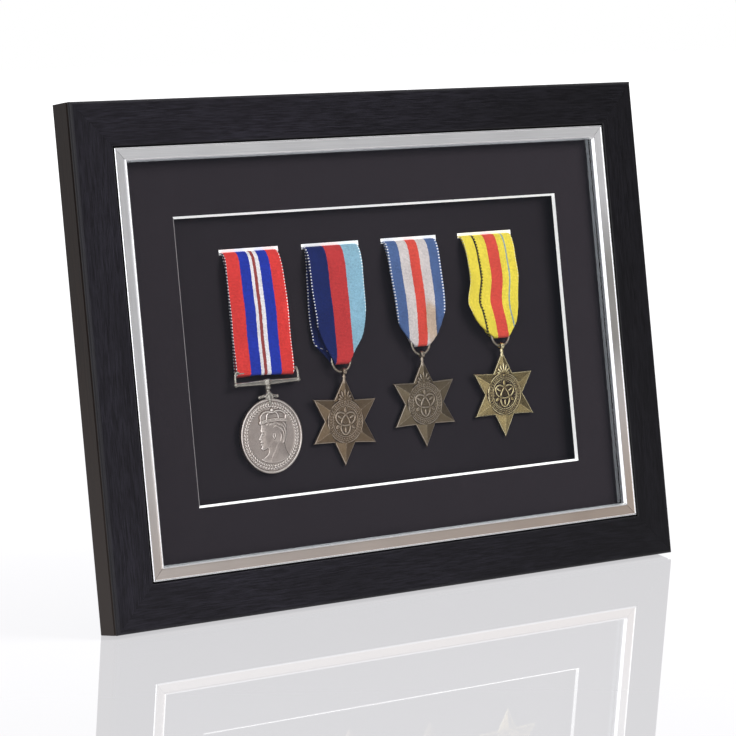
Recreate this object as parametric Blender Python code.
"""Shadow box for four medals: a mitred frame that leans back on its strut.

Metres, +Z up, the glass towards -Y. Everything is built in the frame's own axes, which a parent
empty leans back: X across, Y back from the outer edge line, Z up the face from its lower edge.
The origin is the middle of the footprint, on the surface that the frame stands on.
"""

import math

import bmesh
import bpy
from mathutils import Vector

MM = 0.001

# Frame
FRAME_WIDTH = 343.2 * MM
FRAME_HEIGHT = 246.7 * MM
FRAME_DEPTH = 14.0 * MM
EDGE_ROUND = 1.4 * MM
LEAN = math.radians(7.5)
FACE_WIDTH = 22.6 * MM
SIGHT_INSET = 29.3 * MM
LIP_INSET = 27.4 * MM
REBATE_INSET = 24.0 * MM
LIP_TOP = 0.9 * MM
LIP_BACK = 2.0 * MM
GAP = 0.3 * MM
MITRE_GAP = 0.2 * MM

# Layers behind the lip, each from its front to its back
GLASS = (2.3 * MM, 4.3 * MM)
MOUNT = (4.6 * MM, 6.0 * MM)
SPACER = (6.3 * MM, 9.1 * MM)
BOARD = (9.4 * MM, 10.6 * MM)
TAPE = (11.5 * MM, 11.7 * MM)
PANEL = (11.9 * MM, 14.0 * MM)
SPACER_WIDTH = 12.0 * MM
TAPE_WIDTH = 14.0 * MM

# Window and slots
WINDOW_WIDTH = 235.2 * MM
WINDOW_HEIGHT = 137.8 * MM
WINDOW_CENTRE = Vector((0.9 * MM, 0.0, 122.3 * MM))
WINDOW_BEVEL = 1.3 * MM
SLOT_PITCH = 48.5 * MM
SLOT_LENGTH = 34.6 * MM
SLOT_HEIGHT = 1.8 * MM
SLOT_RISE = 173.4 * MM

# Ribbons and medals
RIBBON_WIDTH = 32.0 * MM
RIBBON_TAIL = 22.0 * MM
DISC_RADIUS = 18.0 * MM
DISC_THICKNESS = 2.2 * MM
DISC_DROP = 31.2 * MM
ROD_CENTRE = Vector((-70.0 * MM, 6.5 * MM, 114.6 * MM))
ROD_RADIUS = 0.6 * MM
DISC_TILT = math.radians(1.7)
RING_RADIUS = 5.6 * MM
RING_WIRE = 0.6 * MM
RING_DEPTH = 6.4 * MM
STAR_RADIUS = 21.8 * MM
STAR_INNER = 12.2 * MM
STAR_DROP = 24.3 * MM
STAR_TILT = math.radians(2.4)
EYELET_RADIUS = 1.75 * MM
EYELET_HOLE = 1.1 * MM
EYELET_WIDTH = 2.0 * MM

# Back fittings
STRUT_OPEN = math.radians(15.0)
PIN_RISE = 175.0 * MM
PIN_DEPTH = 16.5 * MM
PIN_RADIUS = 1.0 * MM
KNUCKLE_RADIUS = 1.7 * MM
LEAF_WIDTH = 40.0 * MM
LEAF_HEIGHT = 24.0 * MM
LEAF_THICKNESS = 0.8 * MM
LEG_THICKNESS = 2.5 * MM
LEG_TOP_WIDTH = 34.0 * MM
LEG_FOOT_WIDTH = 54.0 * MM
SCREW_BITE = 8.0 * MM
BUTTON_SPREAD = 80.0 * MM
BUTTON_INSET = 16.5 * MM
HANGER_INSET = 12.0 * MM
HANGER_RISE = 186.0 * MM
HANGER_DEPTH = 16.2 * MM

# Each medal hangs below its slot: ring centre across and up, where the eyelet sits around the
# ring, and the turn of the star in its plane.
STARS = {
    2: (-25.2 * MM, 116.4 * MM, math.radians(10.0), math.radians(3.4)),
    3: (24.5 * MM, 121.1 * MM, math.radians(0.0), math.radians(0.6)),
    4: (75.7 * MM, 121.5 * MM, math.radians(0.0), math.radians(1.3)),
}

# How each ribbon's outline runs below its slot: height, middle, width.
RIBBON_OUTLINES = {
    1: ((160.0, -71.6, 32.0), (140.0, -71.0, 32.0), (122.0, -70.4, 32.0), (112.6, -70.1, 31.6)),
    2: ((160.0, -22.9, 32.0), (145.0, -23.8, 31.6), (130.0, -24.6, 27.6), (119.5, -24.6, 13.0),
        (114.8, -24.6, 8.0)),
    3: ((160.0, 25.3, 32.0), (145.0, 26.5, 31.0), (133.5, 26.4, 29.5), (125.2, 25.8, 18.6),
        (119.7, 25.0, 8.6)),
    4: ((160.0, 74.4, 32.0), (148.0, 75.0, 30.6), (137.0, 73.6, 29.6), (127.0, 74.0, 20.6),
        (120.0, 75.4, 9.0)),
}


def clear_scene():
    """Remove every object, so the model starts from an empty scene."""
    for obj in list(bpy.data.objects):
        bpy.data.objects.remove(obj, do_unlink=True)


def make_material(name, colour, roughness, metallic=0.0, alpha=1.0):
    """A Principled material."""
    material = bpy.data.materials.new(name)
    material.use_nodes = True
    shader = material.node_tree.nodes["Principled BSDF"]
    shader.inputs["Base Color"].default_value = (*colour, 1.0)
    shader.inputs["Roughness"].default_value = roughness
    shader.inputs["Metallic"].default_value = metallic
    shader.inputs["Alpha"].default_value = alpha
    return material


def add(name, mesh, parent, material, location=(0.0, 0.0, 0.0), rotation=(0.0, 0.0, 0.0)):
    """Link a mesh into the scene as one named piece."""
    obj = bpy.data.objects.new(name, mesh)
    bpy.context.scene.collection.objects.link(obj)
    obj.parent = parent
    obj.location = location
    obj.rotation_euler = rotation
    mesh.materials.append(material)
    return obj


def helper(obj):
    """Turn an object into a hidden tool for Booleans."""
    obj.hide_render = True
    obj.display_type = "WIRE"
    return obj


def combine(target, operation, mesh, location=(0.0, 0.0, 0.0), rotation=(0.0, 0.0, 0.0)):
    """Join a mesh to an object, or cut it away, in the object's own axes."""
    name = f"{target.name}_{operation.lower()}_{len(target.modifiers)}"
    tool = helper(add(name, mesh, target, target.data.materials[0], location, rotation))
    modifier = target.modifiers.new(operation.title(), "BOOLEAN")
    modifier.operation = operation
    modifier.object = tool


def skin(name, rings, wrap=False):
    """A closed mesh through rings of points: capped at both ends, or joined end to start."""
    solid = bmesh.new()
    rows = [[solid.verts.new(point) for point in ring] for ring in rings]
    following = rows[1:] + rows[:1] if wrap else rows[1:]
    for row, after in zip(rows, following):
        for index, vertex in enumerate(row):
            turn = (index + 1) % len(row)
            solid.faces.new((vertex, row[turn], after[turn], after[index]))
    if not wrap:
        solid.faces.new(rows[0])
        solid.faces.new(rows[-1])
    return finish_mesh(name, solid)


def finish_mesh(name, solid):
    """Face a bmesh outwards and turn it into a mesh."""
    bmesh.ops.recalc_face_normals(solid, faces=solid.faces)
    mesh = bpy.data.meshes.new(name)
    solid.to_mesh(mesh)
    solid.free()
    return mesh


def prism(name, outline, low, high, axis="Y"):
    """Extrude an outline along an axis, from low to high."""
    place = {
        "X": lambda a, b, level: (level, a, b),
        "Y": lambda a, b, level: (a, level, b),
        "Z": lambda a, b, level: (a, b, level),
    }[axis]
    return skin(name, [[place(a, b, level) for a, b in outline] for level in (low, high)])


def rectangle(low_x, high_x, low_z, high_z):
    """The corners of a rectangle."""
    return [(low_x, low_z), (high_x, low_z), (high_x, high_z), (low_x, high_z)]


def circle(radius, count):
    """Points around a circle."""
    angles = [2.0 * math.pi * index / count for index in range(count)]
    return [(radius * math.cos(a), radius * math.sin(a)) for a in angles]


def rod(name, radius, low, high, axis="X", count=16):
    """A straight round rod along an axis."""
    return prism(name, circle(radius, count), low, high, axis)


def turned(name, profile, count=20):
    """A turned piece on the Y axis, from (radius, y) steps with flat ends."""
    rings = [[(x, y, z) for x, z in circle(radius, count)] for radius, y in profile]
    return skin(name, rings)


def tube(name, path, radius, wrap=False, count=8):
    """A round tube along points in the XZ plane."""
    last = len(path) - 1
    rings = []
    for index, (x, z) in enumerate(path):
        before = path[index - 1] if wrap or index else path[index]
        after = path[(index + 1) % len(path)] if wrap or index < last else path[index]
        along = Vector((after[0] - before[0], 0.0, after[1] - before[1])).normalized()
        side = Vector((-along.z, 0.0, along.x))
        centre = Vector((x, 0.0, z))
        rings.append([centre + side * a + Vector((0.0, b, 0.0)) for a, b in circle(radius, count)])
    return skin(name, rings, wrap)


def smooth(obj, degrees=35.0):
    """Shade a round piece smooth, with its edges kept sharp."""
    obj.data.shade_smooth()
    obj.data.set_sharp_from_angle(angle=math.radians(degrees))


def mitred(name, profile, half_run, reach):
    """One side of a mitred frame: a profile of (inset, depth) with its ends cut at 45 degrees."""
    rings = []
    for end in (-1.0, 1.0):
        run = half_run - MITRE_GAP
        rings.append([(end * (run - inset), depth, reach - inset) for inset, depth in profile])
    return skin(name, rings)


def frame_sides():
    """The four sides: name, turn about Y, half run, and reach from the frame's centre."""
    wide = (FRAME_WIDTH / 2.0, FRAME_HEIGHT / 2.0)
    tall = (FRAME_HEIGHT / 2.0, FRAME_WIDTH / 2.0)
    return (
        ("top", 0.0, *wide),
        ("right", math.pi / 2.0, *tall),
        ("bottom", math.pi, *wide),
        ("left", -math.pi / 2.0, *tall),
    )


def rail_profile():
    """The rail's section: outer side, rounded front edge, flat face, lip under the slip, rebate."""
    corner = [math.radians(angle) for angle in (0.0, 30.0, 60.0, 90.0)]
    front = [(EDGE_ROUND * (1.0 - math.cos(a)), -EDGE_ROUND * math.sin(a)) for a in corner]
    chamfer = 0.5 * MM
    return [
        (0.0, FRAME_DEPTH),
        *front,
        (FACE_WIDTH - chamfer, -EDGE_ROUND),
        (FACE_WIDTH, -EDGE_ROUND + chamfer),
        (FACE_WIDTH, LIP_TOP),
        (LIP_INSET, LIP_TOP),
        (LIP_INSET, LIP_BACK),
        (REBATE_INSET, LIP_BACK),
        (REBATE_INSET, FRAME_DEPTH),
    ]


def slip_profile():
    """The slip's section: outer ridge, face that falls inwards, inner ridge, inner wall."""
    outer = FACE_WIDTH + GAP
    ridge = -0.6 * MM
    return [
        (outer, LIP_TOP - GAP),
        (outer, ridge + 0.3 * MM),
        (outer + 0.3 * MM, ridge),
        (outer + 1.0 * MM, ridge),
        (outer + 1.3 * MM, ridge + 0.3 * MM),
        (SIGHT_INSET - 1.2 * MM, 0.2 * MM),
        (SIGHT_INSET - 0.9 * MM, ridge),
        (SIGHT_INSET - 0.3 * MM, ridge),
        (SIGHT_INSET, ridge + 0.3 * MM),
        (SIGHT_INSET, LIP_BACK),
        (LIP_INSET + GAP, LIP_BACK),
        (LIP_INSET + GAP, LIP_TOP - GAP),
    ]


def nail_outline(margin=0.0):
    """The corner nail seen from behind: two short legs at a right angle."""
    half = 0.3 * MM + margin
    leg = 6.0 * MM + margin
    return [(-half, half), (leg, half), (leg, -half), (half, -half), (half, -leg), (-half, -leg)]


def build_frame(base, wood, silver, steel):
    """Four rails with corner nails, and the four slips in their step."""
    middle = (0.0, 0.0, FRAME_HEIGHT / 2.0)
    rails = {}
    for side, turn, half_run, reach in frame_sides():
        mesh = mitred(f"rail_{side}", rail_profile(), half_run, reach)
        rails[side] = add(f"rail_{side}", mesh, base, wood, middle, (0.0, turn, 0.0))
        mesh = mitred(f"slip_{side}", slip_profile(), half_run, reach)
        add(f"slip_{side}", mesh, base, silver, middle, (0.0, turn, 0.0))

    nail_inset = 11.0 * MM
    nail_front = 4.0 * MM
    nail_back = FRAME_DEPTH - GAP
    corners = (("top", "left"), ("right", "top"), ("bottom", "right"), ("left", "bottom"))
    for number, (first, second) in enumerate(corners, start=1):
        for side, sign in ((first, -1.0), (second, 1.0)):
            half_run, reach = next(row[2:] for row in frame_sides() if row[0] == side)
            apex = Vector((sign * (half_run - nail_inset), 0.0, reach - nail_inset))
            outline = [(apex.x - sign * x, apex.z + z) for x, z in nail_outline(GAP)]
            pocket = prism("nail_pocket", outline, nail_front - GAP, FRAME_DEPTH + 1.0 * MM)
            combine(rails[side], "DIFFERENCE", pocket)
        across, up = FRAME_WIDTH / 2.0 - nail_inset, FRAME_HEIGHT / 2.0 - nail_inset
        sign_x = 1.0 if "left" in (first, second) else -1.0
        sign_z = 1.0 if "top" in (first, second) else -1.0
        outline = [(sign_x * (x - across), sign_z * (z + up)) for x, z in nail_outline()]
        mesh = prism(f"corner_nail_{number}", outline, nail_front, nail_back)
        add(f"corner_nail_{number}", mesh, base, steel, middle)
    return rails


def build_layers(base, glass, card, foam, board, hardboard):
    """Glazing, window mount, spacers, medal board with its slots, and the back panel."""
    edge = REBATE_INSET + GAP
    low_x, high_x = -FRAME_WIDTH / 2.0 + edge, FRAME_WIDTH / 2.0 - edge
    low_z, high_z = edge, FRAME_HEIGHT - edge
    full = rectangle(low_x, high_x, low_z, high_z)

    add("glazing", prism("glazing", full, *GLASS), base, glass)

    def window(inset):
        half_x, half_z = WINDOW_WIDTH / 2.0 - inset, WINDOW_HEIGHT / 2.0 - inset
        centre = WINDOW_CENTRE
        return rectangle(centre.x - half_x, centre.x + half_x, centre.z - half_z, centre.z + half_z)

    loops = (
        (full, MOUNT[0]),
        (window(0.0), MOUNT[0]),
        (window(WINDOW_BEVEL), MOUNT[1]),
        (full, MOUNT[1]),
    )
    rings = [[(x, depth, z) for x, z in outline] for outline, depth in loops]
    add("window_mount", skin("window_mount", rings, wrap=True), base, card)

    inner_low, inner_high = low_z + SPACER_WIDTH + GAP, high_z - SPACER_WIDTH - GAP
    strips = {
        "top": rectangle(low_x, high_x, high_z - SPACER_WIDTH, high_z),
        "right": rectangle(high_x - SPACER_WIDTH, high_x, inner_low, inner_high),
        "bottom": rectangle(low_x, high_x, low_z, low_z + SPACER_WIDTH),
        "left": rectangle(low_x, low_x + SPACER_WIDTH, inner_low, inner_high),
    }
    for side, outline in strips.items():
        add(f"spacer_{side}", prism(f"spacer_{side}", outline, *SPACER), base, foam)

    medal_board = add("medal_board", prism("medal_board", full, *BOARD), base, board)
    for number in range(1, 5):
        middle = slot_middle(number)
        half_x, half_z = SLOT_LENGTH / 2.0, SLOT_HEIGHT / 2.0
        outline = rectangle(middle - half_x, middle + half_x, SLOT_RISE - half_z, SLOT_RISE + half_z)
        slot = prism("slot", outline, BOARD[0] - 1.0 * MM, BOARD[1] + 1.0 * MM)
        combine(medal_board, "DIFFERENCE", slot)

    return add("back_panel", prism("back_panel", full, *PANEL), base, hardboard)


def slot_middle(number):
    """Where a slot's middle lies across the frame."""
    return WINDOW_CENTRE.x + (number - 2.5) * SLOT_PITCH


def ribbon_stations(number):
    """The ribbon from its taped end, through the slot and down to its fold.

    Each station is the height, depth, thickness, middle and width of the doubled ribbon.
    """
    middle = slot_middle(number)
    tail_depth = 11.05 * MM
    through = (
        (SLOT_RISE - RIBBON_TAIL, tail_depth, 0.5),
        (SLOT_RISE - 1.2 * MM, tail_depth, 0.5),
        (SLOT_RISE - 0.3 * MM, 10.85 * MM, 0.5),
        (SLOT_RISE, 10.3 * MM, 0.5),
        (SLOT_RISE, 9.7 * MM, 0.5),
        (SLOT_RISE - 0.2 * MM, 9.0 * MM, 0.6),
        (SLOT_RISE - 1.4 * MM, 7.8 * MM, 0.9),
        (SLOT_RISE - 4.4 * MM, 6.7 * MM, 1.2),
    )
    stations = [(z, depth, thick * MM, middle, RIBBON_WIDTH) for z, depth, thick in through]
    outline = RIBBON_OUTLINES[number]
    fold_depth = ROD_CENTRE.y if number == 1 else RING_DEPTH
    for step, (z, centre, width) in enumerate(outline):
        share = step / (len(outline) - 1)
        depth = 6.0 * MM + (fold_depth - 6.0 * MM) * share
        thick = (1.5 + 1.3 * min(1.0, 1.6 * share)) * MM
        stations.append((z * MM, depth, thick, centre * MM, width * MM))
    return stations


def build_ribbon(number, base, material):
    """One ribbon as a closed strip that follows its stations."""
    stations = ribbon_stations(number)
    rings = []
    for index, (z, depth, thick, centre, width) in enumerate(stations):
        before = stations[max(index - 1, 0)]
        after = stations[min(index + 1, len(stations) - 1)]
        along = Vector((0.0, after[1] - before[1], after[0] - before[0])).normalized()
        out = Vector((0.0, -along.z, along.y)) * (thick / 2.0)
        left = Vector((centre - width / 2.0, depth, z))
        right = Vector((centre + width / 2.0, depth, z))
        rings.append([left - out, right - out, right + out, left + out])
    ribbon = add(f"ribbon_{number}", skin(f"ribbon_{number}", rings), base, material)

    if number == 1:
        hole = rod("rod_hole", ROD_RADIUS + GAP, -RIBBON_WIDTH, RIBBON_WIDTH)
        combine(ribbon, "DIFFERENCE", hole, ROD_CENTRE)
    else:
        across, up = STARS[number][:2]
        channel = tube("ring_channel", circle(RING_RADIUS, 32), RING_WIRE + GAP, wrap=True)
        combine(ribbon, "DIFFERENCE", channel, (across, RING_DEPTH, up))


def build_round_medal(base, silver):
    """The round medal and its straight-bar suspender, which tilts on the rod in the ribbon's fold."""
    pivot = bpy.data.objects.new("round_medal_pivot", None)
    bpy.context.scene.collection.objects.link(pivot)
    pivot.parent = base
    pivot.location = ROD_CENTRE
    pivot.rotation_euler = (DISC_TILT, 0.0, 0.0)

    half_span = 17.2 * MM
    bar_drop = 5.0 * MM
    half_bar = 18.3 * MM
    rod_mesh = rod("suspender", ROD_RADIUS, -half_span, half_span, "X", 12)
    suspender = add("suspender", rod_mesh, pivot, silver)
    for sign in (-1.0, 1.0):
        horn = rod("horn", 0.8 * MM, -bar_drop, 0.9 * MM, "Z", 10)
        combine(suspender, "UNION", horn, (sign * half_span, 0.0, 0.0))
    bar_end, bar_shoulder, bar_middle = 0.9 * MM, 1.1 * MM, 1.35 * MM
    shoulder = half_bar - 1.0 * MM
    bar_steps = (
        (-half_bar, bar_end),
        (-shoulder, bar_shoulder),
        (0.0, bar_middle),
        (shoulder, bar_shoulder),
        (half_bar, bar_end),
    )
    rings = [[(x, a, b) for a, b in circle(radius, 12)] for x, radius in bar_steps]
    combine(suspender, "UNION", skin("bar", rings), (0.0, 0.0, -bar_drop))

    disc_top = DISC_DROP - DISC_RADIUS
    post = rod("post", 1.25 * MM, -disc_top + 0.8 * MM, -bar_drop + 0.1 * MM, "Z", 14)
    combine(suspender, "UNION", post)
    claw_half_width = 2.1 * MM
    claw_half_depth = 1.85 * MM
    claw = prism(
        "claw",
        rectangle(-claw_half_width, claw_half_width, -disc_top - 2.6 * MM, -disc_top + 2.4 * MM),
        -claw_half_depth,
        claw_half_depth,
    )
    combine(suspender, "UNION", claw)
    arm_radius = DISC_RADIUS + 1.15 * MM
    angles = [math.radians(90.0 + step) for step in range(-20, 21, 5)]
    arc = [(arm_radius * math.cos(a), arm_radius * math.sin(a)) for a in angles]
    combine(suspender, "UNION", tube("claw_arms", arc, 0.65 * MM, count=7), (0.0, 0.0, -DISC_DROP))
    seat_half = DISC_THICKNESS / 2.0 + 0.25 * MM
    seat = rod("disc_seat", DISC_RADIUS + GAP, -seat_half, seat_half, "Y", 64)
    combine(suspender, "DIFFERENCE", seat, (0.0, 0.0, -DISC_DROP))
    smooth(suspender)

    half = DISC_THICKNESS / 2.0
    field = 0.3 * MM
    rim = DISC_RADIUS - 1.1 * MM
    profile = (
        (rim - field, half - field),
        (rim, half),
        (DISC_RADIUS - 0.2 * MM, half),
        (DISC_RADIUS, half - 0.2 * MM),
        (DISC_RADIUS, -half + 0.2 * MM),
        (DISC_RADIUS - 0.2 * MM, -half),
        (rim, -half),
        (rim - field, -half + field),
    )
    disc = turned("round_medal", profile, 48)
    smooth(add("round_medal", disc, pivot, silver, (0.0, 0.0, -DISC_DROP)))


def star_mesh(name):
    """A six-pointed star with roof-shaped points and a flat back, its middle below the eyelet."""
    edge_front, middle_front, back = -0.5 * MM, -1.5 * MM, 0.7 * MM
    solid = bmesh.new()
    outline = []
    for step in range(12):
        radius = STAR_RADIUS if step % 2 == 0 else STAR_INNER
        angle = math.radians(90.0 + 30.0 * step)
        outline.append((radius * math.cos(angle), radius * math.sin(angle) - STAR_DROP))
    front = [solid.verts.new((x, edge_front, z)) for x, z in outline]
    rear = [solid.verts.new((x, back, z)) for x, z in outline]
    peak = solid.verts.new((0.0, middle_front, -STAR_DROP))
    for index in range(12):
        after = (index + 1) % 12
        solid.faces.new((peak, front[index], front[after]))
        solid.faces.new((front[index], rear[index], rear[after], front[after]))
    solid.faces.new(rear)
    return finish_mesh(name, solid)


def build_star(number, base, bronze):
    """A jump ring through the ribbon's fold, and the star that hangs in it."""
    across, up, seat, turn = STARS[number]
    ring_mesh = tube(f"jump_ring_{number}", circle(RING_RADIUS, 32), RING_WIRE, wrap=True)
    ring = add(f"jump_ring_{number}", ring_mesh, base, bronze, (across, RING_DEPTH, up))
    smooth(ring)

    eyelet = (RING_RADIUS * math.sin(seat), 0.0, -RING_RADIUS * math.cos(seat))
    tilt = (STAR_TILT, turn, 0.0)
    star = add(f"star_{number}", star_mesh(f"star_{number}"), ring, bronze, eyelet, tilt)
    neck_low, neck_half_low, neck_half_top = -7.0 * MM, 1.0 * MM, 0.8 * MM
    neck = [
        (-neck_half_low, neck_low),
        (neck_half_low, neck_low),
        (neck_half_top, 0.0),
        (-neck_half_top, 0.0),
    ]
    combine(star, "UNION", prism("neck", neck, -0.8 * MM, 0.6 * MM))
    half = EYELET_WIDTH / 2.0
    combine(star, "UNION", rod("eyelet", EYELET_RADIUS, -half, half, "X", 20))
    combine(star, "DIFFERENCE", rod("eyelet_hole", EYELET_HOLE, -EYELET_WIDTH, EYELET_WIDTH, "X", 20))


def screw_mesh(name, head_radius, shank_radius, grip):
    """A pan-head screw on the Y axis, its head's underside at zero and its shank towards -Y."""
    head_height = 1.7 * MM
    bite = SCREW_BITE
    profile = (
        (shank_radius * 0.4, -grip - bite),
        (shank_radius, -grip - bite + 1.2 * MM),
        (shank_radius, 0.0),
        (head_radius, 0.0),
        (head_radius, head_height * 0.45),
        (head_radius * 0.62, head_height),
    )
    return turned(name, profile, 16)


def drill(target, radius, across, up):
    """A blind hole for a screw, from behind, in the frame's axes, into a rail."""
    hole = rod("hole", radius, FRAME_DEPTH - SCREW_BITE - GAP, FRAME_DEPTH + 1.0 * MM, "Y", 16)
    place = target.matrix_basis.inverted() @ Vector((across, 0.0, up))
    combine(target, "DIFFERENCE", hole, place)


def build_turn_buttons(base, rails, steel):
    """Four turn buttons that hold the back in, each on its own screw."""
    thickness = 1.1 * MM
    front = FRAME_DEPTH + GAP
    reach, heel, half_width = 14.0 * MM, 5.0 * MM, 4.5 * MM
    arc_top = [math.radians(step) for step in range(0, 181, 20)]
    arc_middle = reach - half_width
    outline = [(half_width * math.cos(a), arc_middle + half_width * math.sin(a)) for a in arc_top]
    outline += [(-heel * math.cos(a), -heel * math.sin(a)) for a in arc_top]
    places = (
        ("top", -1.0, math.pi),
        ("top", 1.0, math.pi),
        ("bottom", 1.0, 0.0),
        ("bottom", -1.0, 0.0),
    )
    for number, (side, sign, turn) in enumerate(places, start=1):
        across = sign * BUTTON_SPREAD
        up = BUTTON_INSET if side == "bottom" else FRAME_HEIGHT - BUTTON_INSET
        mesh = prism(f"turn_button_{number}", outline, 0.0, thickness)
        place, heading = (across, front, up), (0.0, turn, 0.0)
        button = add(f"turn_button_{number}", mesh, base, steel, place, heading)
        combine(button, "DIFFERENCE", rod("hole", 1.8 * MM, -1.0 * MM, 3.0 * MM, "Y", 16))
        head_seat = front + thickness + GAP
        shank = 1.4 * MM
        screw = screw_mesh(f"button_screw_{number}", 3.3 * MM, shank, head_seat - FRAME_DEPTH)
        smooth(add(f"button_screw_{number}", screw, base, steel, (across, head_seat, up)))
        drill(rails[side], shank + GAP, across, up)


def d_ring_path(half_width, drop, corner):
    """A D-shaped loop: straight across the top, half an ellipse below, with eased corners."""
    points = [(half_width - corner, 0.0), (0.0, 0.0), (-half_width + corner, 0.0)]
    for step in range(0, 19):
        angle = math.radians(180.0 + 10.0 * step)
        rise = (drop - corner) * math.sin(angle)
        points.append((half_width * math.cos(angle), rise - corner))
    return points


def build_hangers(base, rails, steel):
    """Two strap hangers: strap, screw and the D-ring that swings in its loop."""
    strap_thickness = 0.8 * MM
    front = FRAME_DEPTH + GAP
    loop_radius, loop_hole = 1.9 * MM, 1.25 * MM
    half_strap, strap_width, strap_height = 4.5 * MM, 9.0 * MM, 20.0 * MM
    screw_rise = 11.0 * MM
    ring_half, ring_drop, ring_corner, ring_wire = 7.4 * MM, 11.5 * MM, 1.6 * MM, 0.9 * MM
    for number, (side, sign) in enumerate((("left", -1.0), ("right", 1.0)), start=1):
        across = sign * (FRAME_WIDTH / 2.0 - HANGER_INSET)
        place = (across, HANGER_DEPTH, HANGER_RISE)
        offset = front - HANGER_DEPTH
        plate = prism(
            f"hanger_strap_{number}",
            rectangle(-half_strap, half_strap, 0.4 * MM, strap_height),
            offset,
            offset + strap_thickness,
        )
        strap = add(f"hanger_strap_{number}", plate, base, steel, place)
        combine(strap, "UNION", rod("loop", loop_radius, -half_strap, half_strap, "X", 20))
        bore = rod("loop_hole", loop_hole, -strap_width, strap_width, "X", 20)
        combine(strap, "DIFFERENCE", bore)
        hole = rod("hole", 2.0 * MM, offset - 1.0 * MM, offset + 3.0 * MM, "Y", 16)
        combine(strap, "DIFFERENCE", hole, (0.0, 0.0, screw_rise))

        path = d_ring_path(ring_half, ring_drop, ring_corner)
        ring_mesh = tube(f"hanger_ring_{number}", path, ring_wire, wrap=True)
        smooth(add(f"hanger_ring_{number}", ring_mesh, base, steel, place, (LEAN, 0.0, 0.0)))

        head_seat = front + strap_thickness + GAP
        shank = 1.6 * MM
        screw_up = HANGER_RISE + screw_rise
        screw = screw_mesh(f"hanger_screw_{number}", 3.4 * MM, shank, head_seat - FRAME_DEPTH)
        smooth(add(f"hanger_screw_{number}", screw, base, steel, (across, head_seat, screw_up)))
        drill(rails[side], shank + GAP, across, screw_up)


def pin_height():
    """The hinge pin's height over the floor."""
    return PIN_RISE * math.cos(LEAN) + (FRAME_DEPTH - PIN_DEPTH) * math.sin(LEAN)


def leg_length(depth):
    """How far the leg reaches below the pin at a depth in its thickness, so it sits flat."""
    open_to_floor = STRUT_OPEN - LEAN
    return (pin_height() + depth * math.sin(open_to_floor)) / math.cos(open_to_floor)


def rivet_mesh(name, grip):
    """A domed rivet on the Y axis: head outside, shank towards -Y."""
    shank, head = 1.3 * MM, 2.6 * MM
    profile = (
        (shank, -grip),
        (shank, 0.0),
        (head, 0.0),
        (head - 0.3 * MM, 0.6 * MM),
        (head - 1.4 * MM, 1.0 * MM),
    )
    return turned(name, profile, 16)


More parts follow.
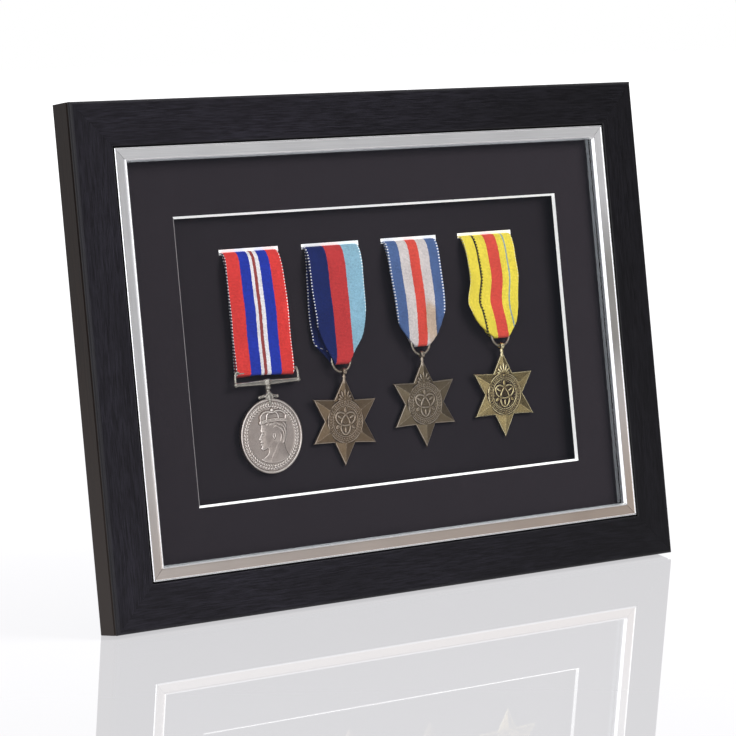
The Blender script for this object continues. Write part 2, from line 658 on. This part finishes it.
def build_strut(base, panel, hardboard, steel):
    """The strut: a tapered leg on a riveted pin hinge, open on its stop."""
    pin = (0.0, PIN_DEPTH, PIN_RISE)
    half_leaf, half_knuckle = LEAF_WIDTH / 2.0, 7.0 * MM
    play = 0.25 * MM

    leaf_front = FRAME_DEPTH + GAP - PIN_DEPTH
    clear = KNUCKLE_RADIUS + 0.7 * MM
    outline = [
        (-half_leaf, 0.0),
        (-half_knuckle, 0.0),
        (-half_knuckle, clear),
        (half_knuckle, clear),
        (half_knuckle, 0.0),
        (half_leaf, 0.0),
        (half_leaf, LEAF_HEIGHT),
        (-half_leaf, LEAF_HEIGHT),
    ]
    mesh = prism("hinge_leaf_fixed", outline, leaf_front, leaf_front + LEAF_THICKNESS)
    fixed = add("hinge_leaf_fixed", mesh, base, steel, pin)
    for low, high in ((-half_leaf, -half_knuckle), (half_knuckle, half_leaf)):
        combine(fixed, "UNION", rod("knuckle", KNUCKLE_RADIUS, low, high, "X", 20))
    combine(fixed, "DIFFERENCE", rod("bore", PIN_RADIUS + play, -LEAF_WIDTH, LEAF_WIDTH, "X", 20))

    head_inner, head_outer = half_leaf + 0.3 * MM, half_leaf + 0.9 * MM
    head_radius = 1.5 * PIN_RADIUS
    one_end = (
        (head_inner, PIN_RADIUS),
        (head_inner, head_radius),
        (head_outer - 0.1 * MM, head_radius),
        (head_outer, PIN_RADIUS),
    )
    steps = [(-x, radius) for x, radius in reversed(one_end)] + list(one_end)
    rings = [[(x, a, b) for a, b in circle(radius, 16)] for x, radius in steps]
    smooth(add("hinge_pin", skin("hinge_pin", rings), base, steel, pin))

    pivot = bpy.data.objects.new("strut_pivot", None)
    bpy.context.scene.collection.objects.link(pivot)
    pivot.parent = base
    pivot.location = pin
    pivot.rotation_euler = (STRUT_OPEN, 0.0, 0.0)

    leg_front = -2.0 * MM
    leg_back = leg_front + LEG_THICKNESS
    leg_top = -2.3 * MM
    rings = []
    for depth in (leg_front, leg_back):
        half_top, half_foot = LEG_TOP_WIDTH / 2.0, LEG_FOOT_WIDTH / 2.0
        foot = -leg_length(depth)
        corners = (
            (-half_foot, depth, foot),
            (half_foot, depth, foot),
            (half_top, depth, leg_top),
            (-half_top, depth, leg_top),
        )
        rings.append(corners)
    leg = add("strut_leg", skin("strut_leg", rings), pivot, hardboard)

    plate_front = leg_back + GAP
    half_moving = half_knuckle - GAP
    half_wide = 14.0 * MM
    outline = [
        (-half_moving, 0.0),
        (half_moving, 0.0),
        (half_moving, -clear),
        (half_wide, -clear),
        (half_wide, -LEAF_HEIGHT),
        (-half_wide, -LEAF_HEIGHT),
        (-half_wide, -clear),
        (-half_moving, -clear),
    ]
    plate = prism("hinge_leaf_moving", outline, plate_front, plate_front + LEAF_THICKNESS)
    moving = add("hinge_leaf_moving", plate, pivot, steel)
    combine(moving, "UNION", rod("knuckle", KNUCKLE_RADIUS, -half_moving, half_moving, "X", 20))
    combine(moving, "DIFFERENCE", rod("bore", PIN_RADIUS + play, -LEAF_WIDTH, LEAF_WIDTH, "X", 20))

    panel_grip, leg_grip = 1.6 * MM, 2.0 * MM
    add_rivets("panel_rivet", base, fixed, panel, pin, (12.0 * MM, 15.0 * MM), leaf_front, panel_grip)
    at_pivot = (0.0, 0.0, 0.0)
    add_rivets("leg_rivet", pivot, moving, leg, at_pivot, (8.0 * MM, -15.0 * MM), plate_front, leg_grip)


def add_rivets(name, parent, leaf, board, origin, place, leaf_front, grip):
    """Two rivets through a hinge leaf into the board under it, either side of the middle."""
    steel = leaf.data.materials[0]
    seat = leaf_front + LEAF_THICKNESS + GAP
    shank = 2.0 * GAP + LEAF_THICKNESS + grip
    for number, sign in ((1, -1.0), (2, 1.0)):
        in_leaf = Vector((sign * place[0], seat, place[1]))
        in_board = Vector(origin) + in_leaf
        rivet = rivet_mesh(f"{name}_{number}", shank)
        smooth(add(f"{name}_{number}", rivet, parent, steel, in_board))
        for target, offset in ((leaf, in_leaf), (board, in_board)):
            hole = rod("hole", 1.6 * MM, -shank - GAP, 2.0 * MM, "Y", 16)
            combine(target, "DIFFERENCE", hole, offset)


def front_reach():
    """How far the frame's front edge lies ahead of the outer edge line at the floor."""
    profile = rail_profile()
    return min(depth * math.cos(LEAN) + inset * math.sin(LEAN) for inset, depth in profile)


def foot_reach():
    """How far back the strut's foot stands."""
    open_to_floor = STRUT_OPEN - LEAN
    depth = LEG_THICKNESS - 2.0 * MM
    pin_back = PIN_DEPTH * math.cos(LEAN) + PIN_RISE * math.sin(LEAN)
    return pin_back + depth * math.cos(open_to_floor) + leg_length(depth) * math.sin(open_to_floor)


def main():
    clear_scene()
    wood = make_material("black_wood", (0.018, 0.017, 0.020), 0.42)
    silver_leaf = make_material("silver_leaf", (0.56, 0.55, 0.53), 0.30, 1.0)
    glass = make_material("clear_glass", (0.90, 0.95, 0.94), 0.03, 0.0, 0.12)
    black_card = make_material("black_card", (0.030, 0.028, 0.031), 0.85)
    foam = make_material("foam_board", (0.78, 0.77, 0.74), 0.80)
    hardboard = make_material("hardboard", (0.045, 0.043, 0.042), 0.75)
    steel = make_material("zinc_plate", (0.62, 0.61, 0.58), 0.35, 1.0)
    tape = make_material("paper_tape", (0.62, 0.55, 0.42), 0.70)
    nickel = make_material("medal_silver", (0.45, 0.42, 0.40), 0.38, 1.0)
    bronze = make_material("dark_bronze", (0.19, 0.14, 0.09), 0.45, 1.0)
    brass = make_material("bright_bronze", (0.38, 0.30, 0.14), 0.38, 1.0)
    ribbon_colours = {
        1: (0.55, 0.04, 0.05),
        2: (0.03, 0.05, 0.22),
        3: (0.15, 0.20, 0.42),
        4: (0.75, 0.58, 0.04),
    }

    base = bpy.data.objects.new("leaning_frame", None)
    bpy.context.scene.collection.objects.link(base)
    centre = (front_reach() + foot_reach()) / 2.0
    base.location = (0.0, -centre, FRAME_DEPTH * math.sin(LEAN))
    base.rotation_euler = (-LEAN, 0.0, 0.0)

    rails = build_frame(base, wood, silver_leaf, steel)
    panel = build_layers(base, glass, black_card, foam, black_card, hardboard)
    for number, colour in ribbon_colours.items():
        build_ribbon(number, base, make_material(f"ribbon_cloth_{number}", colour, 0.8))
        half = SLOT_LENGTH / 2.0 + 2.0 * MM
        middle = slot_middle(number)
        low = SLOT_RISE - RIBBON_TAIL - 5.0 * MM
        outline = rectangle(middle - half, middle + half, low, low + TAPE_WIDTH)
        strip = prism(f"tape_strip_{number}", outline, *TAPE)
        add(f"tape_strip_{number}", strip, base, tape)
    build_round_medal(base, nickel)
    for number, metal in ((2, bronze), (3, bronze), (4, brass)):
        build_star(number, base, metal)
    build_turn_buttons(base, rails, steel)
    build_hangers(base, rails, steel)
    build_strut(base, panel, hardboard, steel)


main()
